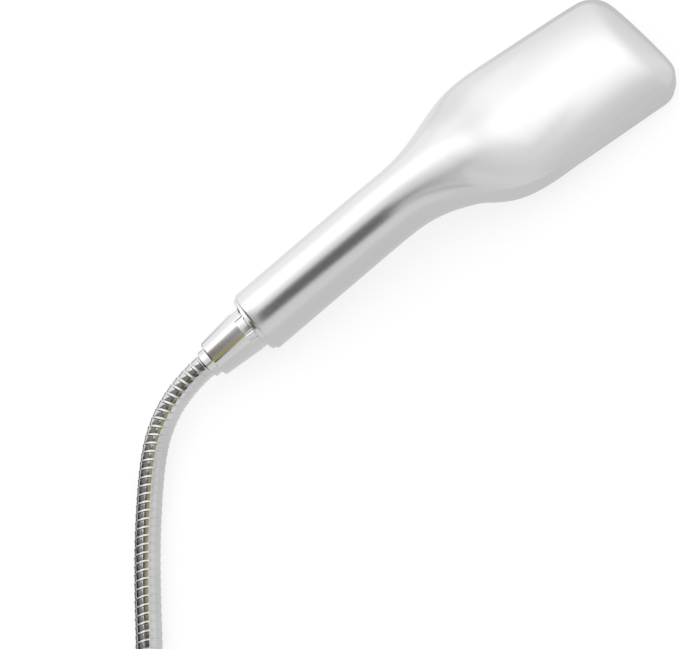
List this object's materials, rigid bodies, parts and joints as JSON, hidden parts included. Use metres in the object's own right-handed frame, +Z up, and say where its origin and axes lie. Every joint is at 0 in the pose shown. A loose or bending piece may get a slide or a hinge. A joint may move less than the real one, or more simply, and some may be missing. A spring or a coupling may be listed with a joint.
{
  "type": "handheld bath sprayer",
  "caption": "Handheld bath sprayer: chromed one-piece paddle handset with a crowned back, and a ribbed flexible metal hose with a wall nut.",
  "frame": {"origin": "middle of the handset's box, cone nut included, on the surface that it lies on", "axes": "+X from the handle to the tip of the head, +Y to the handset's left seen from behind it, +Z up; the handset lies face down on the tip of its face and the end of its handle"},
  "size_m": [0.6288, 0.1868, 0.0429],
  "materials": {
    "shell_chrome": "satin",
    "trim_chrome": "polished",
    "plate_plastic": "satin",
    "nozzle_rubber": "matte",
    "seal_rubber": "matte",
    "tray_plastic": "satin",
    "screw_steel": "satin",
    "tube_plastic": "satin",
    "brass_fittings": "satin",
    "restrictor_plastic": "satin",
    "hose_rubber": "matte",
    "hose_metal": "polished"
  },
  "bodies": {
    "handset": {"rear_shell": "shell_chrome", "face_frame": "trim_chrome", "spray_plate": "plate_plastic", "nozzle_mat": "nozzle_rubber", "tray_seal": "seal_rubber", "water_tray": "tray_plastic", "tray_screws": "screw_steel", "water_tube": "tube_plastic", "tube_o_ring_head": "seal_rubber", "tube_o_ring_inlet": "seal_rubber", "inlet_connector": "trim_chrome", "flow_restrictor": "restrictor_plastic", "filter_screen": "screw_steel", "hose_washer": "seal_rubber", "swivel_ring": "tube_plastic", "cone_nut": "trim_chrome"},
    "hose": {"hose_tail_upper": "brass_fittings", "ferrule_upper": "trim_chrome", "inner_hose": "hose_rubber", "hose_jacket": "hose_metal", "hose_coil": "hose_metal", "ferrule_lower": "trim_chrome", "hose_tail_lower": "brass_fittings"},
    "wall_nut": {"wall_nut": "trim_chrome", "wall_washer": "seal_rubber"}
  },
  "joints": [
    {"name": "hose_swivel", "type": "hinge", "parent": "handset", "child": "hose", "pos_m": [-0.12819, 0, 0.01563], "axis": [0.9959, 0, 0.0908], "continuous": true},
    {"name": "wall_nut_spin", "type": "hinge", "parent": "hose", "child": "wall_nut", "pos_m": [-0.337, 0.018, 0.0139], "axis": [1, 0, 0], "continuous": true}
  ]
}
